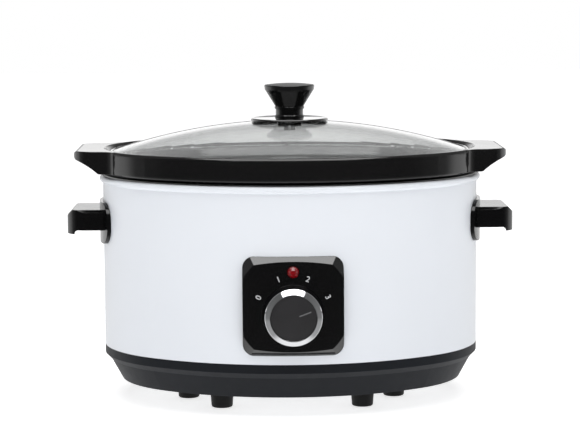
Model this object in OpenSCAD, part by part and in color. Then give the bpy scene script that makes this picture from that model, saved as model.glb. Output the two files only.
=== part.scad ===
// Oval countertop slow cooker: a lift-out stoneware crock with a glass lid, in a painted steel housing on a
// black base, with a four-position rotary control. Millimetres, Z up, front towards -Y. The origin is the centre
// of the footprint's box, on the surface that the cooker stands on.
// Most rings and shells are one profile swept round the same four-arc oval. A profile's x is its distance
// outside the housing wall's outer face, so negative values lie inside the housing, and its y is the height.

/* [Body] */
// Width of the housing wall, outside
body_w = 330; // [270:1:400]
// Depth of the housing wall, outside
body_d = 254; // [210:1:305]
// Height of the housing wall, from the base's seam to the middle of its rolled bead
wall_h = 146.5; // [115:0.5:180]
// Thickness of the housing's sheet
wall_t = 1; // [0.8:0.1:1.5]
// Radius of the rolled bead at the top of the housing
bead_r = 3; // [2:0.5:4]

/* [Base] */
// Height of the base ring, from its lower edge to the seam with the housing
base_h = 30.5; // [25:0.5:38]
// Height of the plain band at the top of the base ring
band_h = 7.5; // [5:0.5:10]
// How far the chamfer under the band goes in
step_in = 4.8; // [3:0.1:7]
// How far the sloping skirt under the chamfer goes in
skirt_in = 10; // [6:0.5:14]
// Wall thickness of the base ring
base_t = 3; // [2:0.5:4]
// Thickness of the steel bottom plate
plate_t = 1.2; // [0.8:0.1:2]

/* [Feet] */
// Height of the feet, from the surface to the base ring's lower edge
foot_h = 18.5; // [14:0.5:26]
// Diameter of a foot at its top
foot_d = 21; // [16:0.5:26]
// How much narrower a foot is at its bottom
foot_taper = 2.5; // [0:0.5:5]
// Distance from the middle to each of the two feet at the sides
foot_side_x = 91; // [80:1:100]
// How far in front of the middle the two side feet stand
foot_side_y = 12; // [0:1:16]
// Distance of the front and rear feet from the middle, sideways
foot_end_x = 61; // [45:1:70]
// Distance of the front and rear feet from the middle, front to back
foot_end_y = 56; // [45:1:60]

/* [Crock] */
// Height of the crock's underside above the base's seam
crock_rise = 17; // [10:0.5:40]
// Thickness of the crock's wall
crock_wall = 7.5; // [5:0.5:10]
// Thickness of the crock's floor
crock_floor = 8; // [6:0.5:12]
// Height of the crock's rim band
rim_h = 20.5; // [16:0.5:26]
// How far the rim band stands out past the housing wall
rim_out = 3.2; // [1:0.1:5]
// Dark gap between the bead and the rim band
rim_gap = 3; // [2:0.5:5]
// How far the crock's lugs reach past the rim band
lug_reach = 20; // [14:1:26]
// Width of a lug
lug_w = 98; // [70:1:104]
// Radius where a lug flows into the rim
lug_fillet = 18; // [8:1:24]
// How far a lug's underside is hollowed
lug_hollow = 1.8; // [0:0.1:3]
// Thickness of a lug at its tip
lug_tip = 8; // [6:0.1:11]

/* [Lid] */
// Thickness of the lid's glass
glass_t = 4; // [3:0.5:6]
// Height of the dome above the lid's edge
dome_h = 25.8; // [16:0.1:34]
// Depth of the lid's seat below the top of the rim
lid_sink = 6.6; // [4:0.1:9]
// Thickness of the lid's edge bead
lid_edge = 4.6; // [4:0.1:6]
// Diameter of the collar under the lid knob
collar_d = 68; // [50:1:80]
// Diameter of the lid knob's cap
cap_d = 44.4; // [34:0.2:52]
// Diameter of the lid knob's neck
neck_d = 24.4; // [18:0.2:30]
// Height of the lid knob above its collar
lid_knob_h = 30; // [22:0.5:36]

/* [Handles] */
// Width of a side handle's grip, front to back
grip_w = 63; // [54:1:72]
// How far a grip stands out from the housing wall
grip_out = 31; // [26:1:38]
// Thickness of a grip at its front edge
grip_h = 17.8; // [14:0.2:22]
// How far the lip at the end of a grip hangs down
lip_h = 3.6; // [2:0.1:6]
// Thickness of the lip
lip_t = 6.2; // [4:0.1:8]
// Wall thickness of a grip
grip_t = 3.4; // [2.5:0.1:4]
// Depth of the grips' top face below the middle of the housing's bead
grip_drop = 25.9; // [16:0.1:45]
// Size of the facet across the top of a grip's outer end
grip_facet = 5.5; // [3:0.1:6]
// Size of the bevels along the top of a grip's front and back
grip_edge = 2.2; // [1:0.1:3]
// Width of a handle's backing plate
pad_w = 88; // [76:1:96]
// Height of a handle's backing plate
pad_h = 36; // [30:1:42]
// Thickness of a handle's backing plate
pad_t = 3.2; // [2:0.1:4]

/* [Controls] */
// Width of the control panel
panel_w = 84.4; // [76:0.2:96]
// Height of the control panel
panel_h = 84; // [76:0.2:96]
// Radius of the panel's corners
panel_r = 10; // [5:0.5:14]
// How far the panel's flat face stands out from the housing
panel_out = 4; // [3:0.1:6]
// Height of the panel's lower edge above the base's seam
panel_rise = 7.5; // [5:0.5:30]
// Wall thickness of the panel
panel_t = 2.5; // [2:0.1:3]
// Diameter of the control knob
knob_d = 47; // [38:0.5:54]
// How much wider the control knob is at its foot, on each side
knob_flare = 2.2; // [0:0.1:3]
// Length of the control knob in front of the panel
knob_len = 15.6; // [12:0.1:20]
// How far the knob's bright ring slopes back, from its inner edge to its outer edge
ring_slope = 3.2; // [1:0.1:5]
// Diameter of the knob's black face
face_d = 38.2; // [28:0.1:42]
// Distance of the knob's axis below the middle of the panel
knob_drop = 7; // [0:0.5:10]
// Distance of the indicator lens above the knob's axis
lens_rise = 36.2; // [32:0.2:40]
// Diameter of the indicator lens
lens_d = 9.8; // [6:0.2:12]
// Direction of the knob's pointer at rest, anticlockwise from the right
pointer_a = 20; // [0:1:60]
// Angle between the switch's four positions
switch_step = 44; // [30:1:45]

/* [Fits] */
// Gap between pieces that lie against each other
seat_gap = 0.1; // [0.05:0.05:0.3]
// Radial gap of a turning shaft in its bore
run_gap = 0.05; // [0.02:0.01:0.1]
// Radial gap of a screw in its hole
screw_gap = 0.2; // [0.1:0.05:0.4]
// Gap between the crock's wall and the liner
crock_gap = 1.5; // [1:0.1:3]
// Gap between the lid's edge and the crock's rim
lid_gap = 0.8; // [0.4:0.1:2]

/* [Hidden] */
$fn = 96;
FEET = ["foot_front_left", "foot_front_right", "foot_left", "foot_right", "foot_rear_left", "foot_rear_right"];

// The oval: two end arcs and two side arcs that meet tangent, on lines through their centres that slope 4 in 3
half_w = body_w / 2;
half_d = body_d / 2;
arc_step = (half_w - half_d) / 0.4;
end_c = 0.6 * arc_step;
side_c = 0.8 * arc_step;
end_r = half_w - end_c;
side_r = end_r + arc_step;
reach = 2 * body_w;

// Heights
seam_z = foot_h + base_h;
bead_z = seam_z + wall_h;
bead_top = bead_z + bead_r;
rim_z = bead_top + rim_gap;
rim_top = rim_z + rim_h;
flange_t = 1;
flange_z = bead_top + seat_gap;

// Offsets from the housing wall, inwards
liner_t = 1;
liner_out = -15;
liner_in = liner_out - liner_t;
crock_out = liner_in - crock_gap;
crock_draft = 5.5;
floor_join = -66;

// Crock and liner heights
crock_z = seam_z + crock_rise;
liner_drop = 5;
liner_z = crock_z - liner_drop - liner_t;
crock_rest = flange_z + flange_t + 0.2;

// Lid: its edge sits on a ledge inside the rim
ledge_out = -5.2;
ledge_in = -16;
ledge_z = rim_top - lid_sink;
lid_out = ledge_out - lid_gap;
lid_z = ledge_z + 0.2;
lid_half_w = half_w + lid_out;
lid_half_d = half_d + lid_out;
dome_z = lid_z + lid_edge - 1;
apex_z = dome_z + dome_h;
dome_rx = lid_half_w * lid_half_w / (2 * dome_h);
dome_ry = lid_half_d * lid_half_d / (2 * dome_h);
stem_d = 5;
washer_t = 1.2;
glass_hole = 8;
collar_t = 3;
collar_edge = apex_z - pow(collar_d / 2, 2) / (2 * dome_rx) + 0.2;
knob_foot = apex_z + 2.6;
knob_top = knob_foot + lid_knob_h;

// Base
skirt_z = seam_z - band_h - step_in;
lip_w = 15;
rabbet = 5;
plate_edge = -step_in - skirt_in - rabbet;
plate_z = foot_h + 0.4;
upstand_h = 11;
upstand_out = -wall_t - 0.3;
foot_pos = [
    [-foot_end_x, -foot_end_y], [foot_end_x, -foot_end_y], [-foot_side_x, -foot_side_y],
    [foot_side_x, -foot_side_y],
    [-foot_end_x, foot_end_y], [foot_end_x, foot_end_y]];
foot_screw_d = 4;
plate_screw_d = 3;
plate_screw_t = plate_edge - 6;
tie_d = 5;
gland_d = 12;
gland_boss_d = gland_d + 6;
gland_bore = 7.2;
gland_z = (foot_h + skirt_z) / 2 + 1;
gland_face = half_d - 1.5;
gland_len = 16;

// Handles
grip_top = bead_z - grip_drop;
grip_end = half_w + grip_out;
grip_corner = 18;
pad_z = grip_top - grip_h / 2 - 2.6;
handle_screw_d = 4;
handle_screw_y = 25;
handle_screw_z = grip_top - grip_h / 2;
wall_x = end_c + sqrt(pow(end_r, 2) - pow(handle_screw_y, 2));
boss_x = wall_x + 13;

// Controls
panel_z = seam_z + panel_rise + panel_h / 2;
face_y = -half_d - panel_out;
back_y = face_y + panel_t;
knob_z = panel_z - knob_drop;
knob_back = face_y - 1;
knob_front = face_y - knob_len;
lens_z = knob_z + lens_rise;
window_w = 70;
case_w = 30;
case_front = back_y + 0.3;
case_back = case_front + 12.6;
tab_y = case_back - 2.4;
tab_w = 6.3;
tab_len = 6.5;
tab_rise = 8;
shaft_d = 6;
bushing_d = 10;
plate_y = -half_d + 5.4;
post_at = 26;
post_d = 8;
panel_screw_d = 3;

// The box's middle: the knob reaches further forward than the rim reaches back
dome_face = 0.9;
front_reach = -knob_front + dome_face;
rear_reach = half_d + rim_out;
centre_y = (front_reach - rear_reach) / 2;

// Points of an arc about (x, y), from angle a0 to a1
function arc(x, y, r, a0, a1, n = 6) =
    [for (i = [0:n]) let(a = a0 + (a1 - a0) * i / n) [x + r * cos(a), y + r * sin(a)]];

// The part of the plane that an end arc or a side arc of the oval covers
module end_sector() {
    translate([end_c, 0]) polygon([[0, 0], [0.6 * reach, -0.8 * reach], [reach, 0], [0.6 * reach,
        0.8 * reach]]);
}

module side_sector() {
    near_x = 0.75 * end_c;
    near_y = 0.75 * side_c;
    translate([0, -side_c]) polygon([[-near_x, near_y], [near_x, near_y], [0.6 * reach, 0.8 * reach], [0,
        reach],
        [-0.6 * reach, 0.8 * reach]]);
}

// The filled oval, t outside the housing wall
module oval(t = 0) {
    for (s = [0, 180]) rotate(s) {
        intersection() {
            translate([end_c, 0]) circle(end_r + t);
            end_sector();
        }
        intersection() {
            translate([0, -side_c]) circle(side_r + t);
            side_sector();
        }
    }
}

module oval_plate(t, z0, z1) {
    translate([0, 0, z0]) linear_extrude(z1 - z0) oval(t);
}

// Sweeps a profile, drawn as [offset, height], round the oval
module oval_sweep() {
    tall = 400;
    for (s = [0, 180]) rotate(s) {
        intersection() {
            translate([end_c, 0, 0]) rotate_extrude(angle = 120, start = -60) translate([end_r, 0]) children();
            linear_extrude(tall) end_sector();
        }
        intersection() {
            translate([0, -side_c, 0]) rotate_extrude(angle = 90, start = 45) translate([side_r, 0]) children();
            linear_extrude(tall) side_sector();
        }
    }
}

module rounded(w, h, r) {
    square([w - 2 * r, h], center = true);
    square([w, h - 2 * r], center = true);
    for (x = [-1, 1], y = [-1, 1]) translate([x * (w / 2 - r), y * (h / 2 - r)]) circle(r);
}

// Points a shape drawn along +Z at the front, so that it runs towards -Y from y0 to y1
module facing(y0, y1) {
    translate([0, y0, 0]) rotate([90, 0, 0]) linear_extrude(y0 - y1) children();
}

// A screw along +Z: its head's outer face is at z = 0 and its shank runs up
module screw(d, length, head_d, head_h) {
    difference() {
        cylinder(d = head_d, h = head_h);
        for (a = [0, 90]) rotate(a) translate([-head_d * 0.3, -d * 0.1, -1]) cube([head_d * 0.6, d * 0.2, 2]);
    }
    translate([0, 0, head_h]) cylinder(d = d, h = length);
}

module hex_nut(d, across, h) {
    difference() {
        cylinder(d = across / cos(30), h = h, $fn = 6);
        translate([0, 0, -1]) cylinder(d = d + 2 * run_gap, h = h + 2);
    }
}

// Housing: one sheet with a rolled bead, a window behind the panel and four handle screw holes
module housing_shell() {
    color("white") difference() {
        oval_sweep() {
            translate([-wall_t, seam_z + seat_gap]) square([wall_t, wall_h - bead_r * 0.8]);
            translate([-bead_r * 0.05, bead_z]) difference() {
                circle(bead_r);
                circle(bead_r - wall_t);
            }
        }
        translate([0, 0, panel_z]) facing(-half_d + 20, -half_d - 5) rounded(window_w, window_w, 6);
        for (x = [-1, 1], y = [-1, 1]) translate([x * wall_x, y * handle_screw_y, handle_screw_z])
            rotate([0, 90, 0]) cylinder(d = handle_screw_d + 2 * screw_gap, h = 20, center = true);
    }
}

// Liner: a steel cup with a flange that lies on the housing's bead
module heating_liner() {
    corner = 8;
    color("dimgray") {
        oval_sweep() polygon(concat(
            [[floor_join, liner_z]],
            arc(liner_out - corner, liner_z + corner, corner, -90, 0),
            [[liner_out, flange_z], [-0.6, flange_z], [-0.6, flange_z + flange_t], [liner_in,
                flange_z + flange_t]],
            arc(liner_in - corner + liner_t, liner_z + corner, corner - liner_t, 0, -90),
            [[floor_join, liner_z + liner_t]]));
        oval_plate(floor_join, liner_z, liner_z + liner_t);
    }
}

// Heater: a flat mica-board element round the lower half of the liner
heater_z = liner_z + 18;
heater_h = 52;
heater_t = 2;
strap_t = 0.6;
strap_w = 7;
strap_z = [heater_z + 9, heater_z + heater_h - 9 - strap_w];
heater_out = liner_out + seat_gap + heater_t;
strap_out = heater_out + seat_gap + strap_t;
spring_x = 30;

module ring_band(t0, t1, z0, z1) {
    oval_sweep() translate([t0, z0]) square([t1 - t0, z1 - z0]);
}

module heater_band() {
    color("tan") ring_band(heater_out - heater_t, heater_out, heater_z, heater_z + heater_h);
}

// Two steel straps with a gap at the rear, where a spring joins their ends
module band_straps() {
    color("silver") difference() {
        for (z = strap_z) ring_band(strap_out - strap_t, strap_out, z, z + strap_w);
        translate([-spring_x / 2, 0, heater_z]) cube([spring_x, half_d, heater_h]);
    }
}

module band_springs() {
    y = half_d + strap_out - strap_t;
    color("silver") for (z = strap_z) translate([0, y + 3, z + strap_w / 2]) {
        rotate([0, 90, 0]) difference() {
            cylinder(d = 5, h = spring_x - 8, center = true);
            cylinder(d = 3.4, h = spring_x, center = true);
        }
    }
}

// Base ring: band, chamfer, sloping skirt, an inner lip that holds the bottom plate, and an upstand in the housing
module base_ring() {
    skirt_t = -step_in - skirt_in;
    color([0.16, 0.17, 0.19]) difference() {
        union() {
            oval_sweep() polygon([
                [0, seam_z], [0, seam_z - band_h], [-step_in, skirt_z], [skirt_t, foot_h],
                [plate_edge, foot_h], [plate_edge, plate_z + plate_t + seat_gap],
                [skirt_t - lip_w, plate_z + plate_t + seat_gap], [skirt_t - lip_w, plate_z + plate_t + base_t],
                [skirt_t - base_t, plate_z + plate_t + base_t], [-step_in - base_t, skirt_z + 0.6],
                [upstand_out - base_t, seam_z - band_h], [upstand_out - base_t, seam_z + upstand_h],
                [upstand_out, seam_z + upstand_h], [upstand_out, seam_z]]);
            translate([0, half_d - base_t - skirt_in - step_in, gland_z]) rotate([-90, 0, 0])
                cylinder(d = gland_boss_d, h = gland_face - half_d + base_t + skirt_in + step_in);
        }
        translate([0, half_d - 40, gland_z]) rotate([-90, 0, 0]) cylinder(d = gland_d + 2 * seat_gap, h = 60);
        for (p = plate_screw_pos()) translate([p[0], p[1], plate_z + plate_t])
            cylinder(d = plate_screw_d + 2 * run_gap, h = 20, center = true);
    }
}

// Four plate screws, on the end arcs at 45 degrees
function plate_screw_pos() = [for (x = [-1, 1], y = [-1, 1])
    [x * (end_c + (end_r + plate_screw_t) * cos(38)), y * (end_r + plate_screw_t) * sin(38)]];

// Bottom plate: steel, with vent slots between the feet
module bottom_plate() {
    color("lightgray") difference() {
        oval_plate(plate_edge - seat_gap, plate_z, plate_z + plate_t);
        for (p = foot_pos) translate([p[0], p[1], plate_z - 1]) cylinder(d = foot_screw_d + 2 * screw_gap,
            h = 5);
        for (p = plate_screw_pos()) translate([p[0], p[1], plate_z - 1])
            cylinder(d = plate_screw_d + 2 * screw_gap, h = 5);
        translate([0, 0, plate_z - 1]) cylinder(d = tie_d + 2 * screw_gap, h = 5);
        for (x = [-3:3], y = [-1, 1]) if (x != 0) translate([x * 9, y * 27, plate_z - 1]) linear_extrude(5) {
            square([3, 18], center = true);
            for (e = [-9, 9]) translate([0, e]) circle(1.5);
        }
    }
}

module plate_screws() {
    color("silver") for (p = plate_screw_pos()) translate([p[0], p[1], plate_z - 2 - seat_gap])
        screw(plate_screw_d, base_t + plate_t, 6, 2);
}

// One foot: a tapered post with a recess for its screw
module foot(at) {
    pad_d = foot_d - foot_taper;
    color("black") translate([at[0], at[1], 0]) difference() {
        rotate_extrude() polygon(concat(
            [[0, 0]], arc(pad_d / 2 - 1.5, 1.5, 1.5, -90, -5, 4),
            [[foot_d / 2, plate_z - seat_gap], [0, plate_z - seat_gap]]));
        translate([0, 0, -1]) cylinder(d = 9, h = 8);
        cylinder(d = foot_screw_d + 2 * screw_gap, h = 40);
    }
}

module foot_screws() {
    color("silver") for (p = foot_pos) translate([p[0], p[1], 4.5]) screw(foot_screw_d, foot_h - 1, 7.6, 2.4);
}

module foot_nuts() {
    color("silver") for (p = foot_pos) translate([p[0], p[1], plate_z + plate_t + seat_gap])
        hex_nut(foot_screw_d, 7, 3);
}

// Tie rod: pulls the liner and the bottom plate together, and so clamps the housing and the base between them
module tie_rod() {
    color("silver") translate([0, 0, plate_z - 6]) cylinder(d = tie_d, h = liner_z - plate_z + 6 - seat_gap);
}

module tie_washer() {
    color("silver") translate([0, 0, plate_z - seat_gap - 1]) difference() {
        cylinder(d = 14, h = 1);
        translate([0, 0, -1]) cylinder(d = tie_d + 2 * run_gap, h = 3);
    }
}

module tie_nut() {
    color("silver") translate([0, 0, plate_z - 2 * seat_gap - 5]) hex_nut(tie_d, 8, 4);
}

// Side handle, drawn at the right: a backing plate that follows the wall, and a hollow grip with an end lip
module grip_plan(inset = 0) {
    w = grip_w - 2 * inset;
    r = grip_corner - inset;
    len = grip_end - inset - end_c;
    translate([end_c, -w / 2]) square([len - r, w]);
    translate([end_c, -w / 2 + r]) square([len, w - 2 * r]);
    for (y = [-1, 1]) translate([end_c + len - r, y * (w / 2 - r)]) circle(r);
}

// The grip's outside: a facet across the outer end's top edge, and bevels along its front and back
module grip_block(z0) {
    half = grip_w / 2;
    e = grip_edge;
    intersection() {
        translate([0, 0, z0]) linear_extrude(grip_top - z0) grip_plan();
        translate([0, grip_w, 0]) rotate([90, 0, 0]) linear_extrude(2 * grip_w) polygon([
            [end_c - 1, z0 - 1], [grip_end + 1, z0 - 1], [grip_end + 1, grip_top - grip_facet - 1],
            [grip_end - grip_facet, grip_top], [grip_end - grip_facet, grip_top + 1], [end_c - 1,
                grip_top + 1]]);
        translate([end_c - 1, 0, 0]) rotate([90, 0, 90]) linear_extrude(half_w) polygon([
            [-half - 1, z0 - 1], [half + 1, z0 - 1], [half + 1, grip_top - e - 1], [half - e, grip_top],
            [half - e, grip_top + 1], [e - half, grip_top + 1], [e - half, grip_top], [-half - 1,
                grip_top - e - 1]]);
    }
}

module handle() {
    lip_fillet_x = grip_end - lip_t - lip_h - 0.9;
    bottom = grip_top - grip_h;
    wall_gap = seat_gap;
    color([0.05, 0.05, 0.055]) difference() {
        union() {
            intersection() {
                oval_plate(pad_t, pad_z - pad_h, pad_z + pad_h);
                translate([end_c, 0, pad_z]) rotate([90, 0, 90]) linear_extrude(half_w) rounded(pad_w,
                    pad_h, 14);
            }
            difference() {
                grip_block(bottom - lip_h);
                translate([0, 0,
                    bottom - lip_h - 1]) linear_extrude(grip_h + lip_h + 1 - grip_t) intersection() {
                    grip_plan(grip_t);
                    translate([end_c, -grip_w]) square([grip_end - lip_t - end_c, 2 * grip_w]);
                }
                translate([end_c, -grip_w, bottom - 2 * lip_h]) cube([lip_fillet_x - end_c, 2 * grip_w,
                    2 * lip_h]);
                translate([lip_fillet_x, grip_w, bottom - lip_h]) rotate([90, 0, 0])
                    cylinder(r = lip_h, h = 2 * grip_w);
            }
            for (y = [-1, 1]) translate([end_c, y * handle_screw_y, handle_screw_z]) rotate([0, 90, 0])
                cylinder(d = 9, h = boss_x - end_c);
        }
        translate([0, 0, pad_z - pad_h]) linear_extrude(2 * pad_h) oval(wall_gap);
        for (y = [-1, 1]) translate([end_c, y * handle_screw_y, handle_screw_z]) rotate([0, 90, 0])
            cylinder(d = handle_screw_d + 2 * run_gap, h = boss_x - end_c - 2);
    }
}

module handle_screws() {
    head_x = wall_x - wall_t - 4.2;
    color("silver") for (x = [0, 180], y = [-1, 1]) rotate([0, 0, x])
        translate([head_x, y * handle_screw_y, handle_screw_z]) rotate([0, 90, 0])
            screw(handle_screw_d, boss_x - head_x - 2.4 - 3, 8, 2.4);
}

// Control panel: a flat face with bevels above and below that are concentric with the wall, and bevelled corners
module panel_bevel(edge, up) {
    deep = 20;
    translate([0, side_c, edge]) rotate_extrude(angle = 60, start = 240) polygon([
        [side_r, 0], [side_r + deep, -up * deep], [side_r + deep, up * deep], [side_r, up * deep]]);
}

module control_panel() {
    face_r = panel_w / 2 + 6;
    bevel_room = 8;
    color([0.04, 0.04, 0.045]) difference() {
        union() {
            difference() {
                translate([0, 0, panel_z]) intersection() {
                    facing(-half_d + 20, face_y) rounded(panel_w, panel_h, panel_r);
                    translate([0, face_y, 0]) rotate([-90, 0, 0]) cylinder(r1 = face_r, r2 = face_r + 30,
                        h = 30);
                }
                translate([0, side_c, seam_z]) cylinder(r = side_r + seat_gap, h = wall_h);
                panel_bevel(panel_z + panel_h / 2, 1);
                panel_bevel(panel_z - panel_h / 2, -1);
                translate([0, 0, panel_z]) facing(-half_d + 20, back_y)
                    rounded(panel_w - 2 * panel_t, panel_h - 2 * bevel_room, panel_r);
            }
            for (x = [-1, 1], z = [-1, 1]) translate([x * post_at, 0, panel_z + z * post_at])
                facing(plate_y - seat_gap, back_y - 0.5) circle(d = post_d);
        }
        translate([0, 0, knob_z]) facing(0, face_y - 1) circle(d = bushing_d + 2 * screw_gap);
        translate([0, 0, lens_z]) facing(0, face_y - 1) circle(d = lens_d - 0.8 + 2 * run_gap);
        for (x = [-1, 1], z = [-1, 1]) translate([x * post_at, 0, panel_z + z * post_at])
            facing(0, back_y) circle(d = panel_screw_d + 2 * run_gap);
    }
}

module panel_screws() {
    color("silver") for (x = [-1, 1], z = [-1, 1])
        translate([x * post_at, plate_y + plate_t + seat_gap + 1.8, panel_z + z * post_at])
            rotate([90, 0, 0]) screw(panel_screw_d, 6, 5.6, 1.8);
}

// Lens: a domed head on a short stem
module indicator_lens() {
    r = lens_d / 2;
    stem = r - 0.4 - run_gap;
    color("darkred") translate([0, face_y - seat_gap, lens_z]) rotate([90, 0, 0]) {
        rotate_extrude() polygon(concat([[0, 0], [r, 0]], arc(0, 0.6, r, 0, 90, 8)));
        translate([0, 0, -panel_t - 0.8]) cylinder(r = stem, h = panel_t + 1);
    }
}

module neon_lamp() {
    color("orange") translate([0, 0, lens_z]) {
        facing(back_y + 7, back_y + 1.2) circle(d = 6);
        facing(back_y + 11, back_y + 7) circle(d = 4);
    }
}

// Steel plate behind the housing wall: the panel's posts are screwed to it, and the switch passes through it
module mounting_plate() {
    color("silver") difference() {
        translate([0, 0, panel_z]) facing(plate_y + plate_t, plate_y) rounded(72, 74, 6);
        translate([0, 0, knob_z]) facing(0, -2 * half_d) square(case_w + 4, center = true);
        translate([0, 0, lens_z]) facing(0, -2 * half_d) circle(d = 8);
        for (x = [-1, 1], z = [-1, 1]) translate([x * post_at, 0, panel_z + z * post_at])
            facing(0, -2 * half_d) circle(d = panel_screw_d + 2 * screw_gap);
    }
}

// Rotary switch: a hollow case with a bushing through the panel, a turning cam and shaft, and tab terminals
module switch_case() {
    cam_room = 21;
    color("ivory") translate([0, 0, knob_z]) difference() {
        union() {
            facing(case_back, case_front) rounded(case_w, case_w, 3);
            facing(case_front, face_y - 3.2) circle(d = bushing_d);
        }
        facing(case_back - 2.4, case_front + 2.4) circle(d = cam_room);
        facing(case_back - 1, face_y - 10) circle(d = shaft_d + 2 * run_gap);
    }
}

module switch_nut() {
    color("silver") translate([0, face_y - seat_gap, knob_z]) rotate([90, 0, 0]) hex_nut(bushing_d, 14, 2);
}

module switch_terminals() {
    color("goldenrod") for (x = [-1, 1], z = [-1, 1])
        translate([x * (case_w / 2 + seat_gap), tab_y, knob_z + z * tab_rise])
            rotate([0, x * 90, 0]) translate([-tab_w / 2, -0.4, 0]) difference() {
                cube([tab_w, 0.8, tab_len]);
                translate([tab_w / 2, -1, tab_len - 2.4]) rotate([-90, 0, 0]) cylinder(d = 1.8, h = 3);
            }
}

module switch_cam() {
    color("white") translate([0, 0, knob_z]) facing(case_back - 3, case_front + 3) difference() {
        circle(d = 19);
        circle(d = shaft_d + 2 * run_gap);
        for (a = [0:3]) rotate(pointer_a + switch_step * a) translate([9.5, 0]) circle(d = 4, $fn = 24);
    }
}

// The shaft's front half is cut to a D for the knob
module switch_shaft() {
    color("silver") translate([0, 0, knob_z]) difference() {
        facing(case_back - 1.6, knob_front + 4) circle(d = shaft_d);
        rotate([0, -pointer_a, 0]) translate([-5, knob_front, shaft_d / 2 - 1.5])
            cube([10, face_y - 4 - knob_front, 5]);
    }
}

// Control knob: an open-backed cup with a hub, a chrome ring round its front, and a domed face
module about_knob_axis() {
    translate([0, 0, knob_z]) rotate([90, 0, 0]) children();
}

ring_t = 1.7;
module control_knob() {
    r = knob_d / 2;
    foot_r = r + knob_flare;
    front = -knob_front - ring_t;
    back = -knob_back;
    color([0.06, 0.06, 0.065]) difference() {
        about_knob_axis() rotate_extrude() polygon([
            [0, front], [face_d / 2, front], [r, front - ring_slope], [foot_r, back + 1], [foot_r - 0.6, back],
            [foot_r - 3, back], [r - 2.6, front - ring_slope - 3],
            [7, front - 3], [7, back + 4], [0, back + 4]]);
        difference() {
            translate([0, 0, knob_z]) facing(0, knob_front + 3.6) circle(d = shaft_d + 2 * run_gap);
            translate([0, 0, knob_z]) rotate([0, -pointer_a, 0])
                translate([-5, knob_front, shaft_d / 2 - 1.5 + run_gap + 0.9])
                    cube([10, -knob_front, 5]);
        }
    }
}

module knob_trim_ring() {
    r = knob_d / 2 + 0.4;
    y = -knob_front;
    ri = face_d / 2 + 0.1;
    seat = y - ring_t + seat_gap;
    color("lightgray") about_knob_axis() rotate_extrude() polygon([
        [ri, seat], [r, seat - ring_slope], [r, y - ring_slope - 0.5], [r - 0.4, y - ring_slope],
        [ri + 0.5, y], [ri, y - 0.2]]);
}

module knob_face() {
    r = face_d / 2 - seat_gap;
    y = -knob_front - ring_t + seat_gap;
    rise = dome_face + 1.6 - seat_gap;
    color([0.16, 0.16, 0.17]) difference() {
        about_knob_axis() rotate_extrude() polygon(concat([[0, y], [r, y], [r, y + 0.8]],
            [for (i = [1:8]) let(u = 1 - i / 8) [r * u, y + rise - (rise - 0.8) * u * u]]));
        pointer_bar(0.05);
    }
}

// The pointer is a slim inlay, flush with the domed face's middle
module pointer_bar(gap) {
    near = 5;
    far = 15.4;
    width = 0.9;
    translate([0, 0, knob_z]) rotate([0, -pointer_a, 0])
        translate([near - gap, knob_front - 4, -width / 2 - gap])
            cube([far - near + 2 * gap, 4.6, width + 2 * gap]);
}

module knob_pointer() {
    r = face_d / 2 - seat_gap;
    y = -knob_front - ring_t + seat_gap;
    rise = dome_face + 1.6 - seat_gap;
    color("gainsboro") intersection() {
        pointer_bar(0);
        about_knob_axis() rotate_extrude() polygon(concat([[0, y + 0.2], [r, y + 0.2], [r, y + 0.8]],
            [for (i = [1:8]) let(u = 1 - i / 8) [r * u, y + rise - (rise - 0.8) * u * u]]));
    }
}

// A leaf in the knob's hub that presses on the shaft's flat
module knob_spring_clip() {
    color("silver") translate([0, 0, knob_z]) rotate([0, -pointer_a, 0])
        translate([-2, knob_front + 5.5, shaft_d / 2 - 1.5 + run_gap]) cube([4, 5, 0.8]);
}

// Under the liner: the thermal fuse in its clip
fuse_x = 45;
module thermal_fuse() {
    color("white") translate([fuse_x, -20, liner_z - 4]) rotate([-90, 0, 0]) {
        cylinder(d = 4, h = 11);
        translate([0, 0, -7]) cylinder(d = 1, h = 25);
    }
}

module fuse_clip() {
    color("silver") translate([fuse_x, -17, liner_z - 4]) rotate([-90, 0, 0]) difference() {
        translate([-8, -4 + seat_gap, 0]) cube([16, 4, 5]);
        cylinder(d = 4 + 2 * run_gap, h = 20, center = true);
    }
}

// Terminal block on the bottom plate, near the gland
block_y = 62;
module terminal_block() {
    color("ivory") translate([-15, block_y - 8, plate_z + plate_t + seat_gap]) difference() {
        cube([30, 16, 14]);
        for (i = [-1, 0, 1]) translate([15 + i * 9, 8, 7]) {
            rotate([90, 0, 0]) cylinder(d = 3.6, h = 40, center = true);
            cylinder(d = 4.4, h = 20);
        }
    }
}

module terminal_screws() {
    color("silver") for (i = [-1, 0, 1]) translate([i * 9, block_y, plate_z + plate_t + seat_gap + 9.2])
        cylinder(d = 4, h = 4);
}

// A round wire along a path, as one closed skin
function unit(v) = v / norm(v);
function wire_ring(p, along, r, n) =
    let(side = unit(cross(along, [0.31, 0.2, 0.93])), up = cross(unit(along), side))
    [for (i = [0:n - 1]) p + r * (cos(360 * i / n) * side + sin(360 * i / n) * up)];
function bezier(a, b, c, d, u) =
    pow(1 - u, 3) * a + 3 * pow(1 - u, 2) * u * b + 3 * (1 - u) * u * u * c + pow(u, 3) * d;

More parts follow.
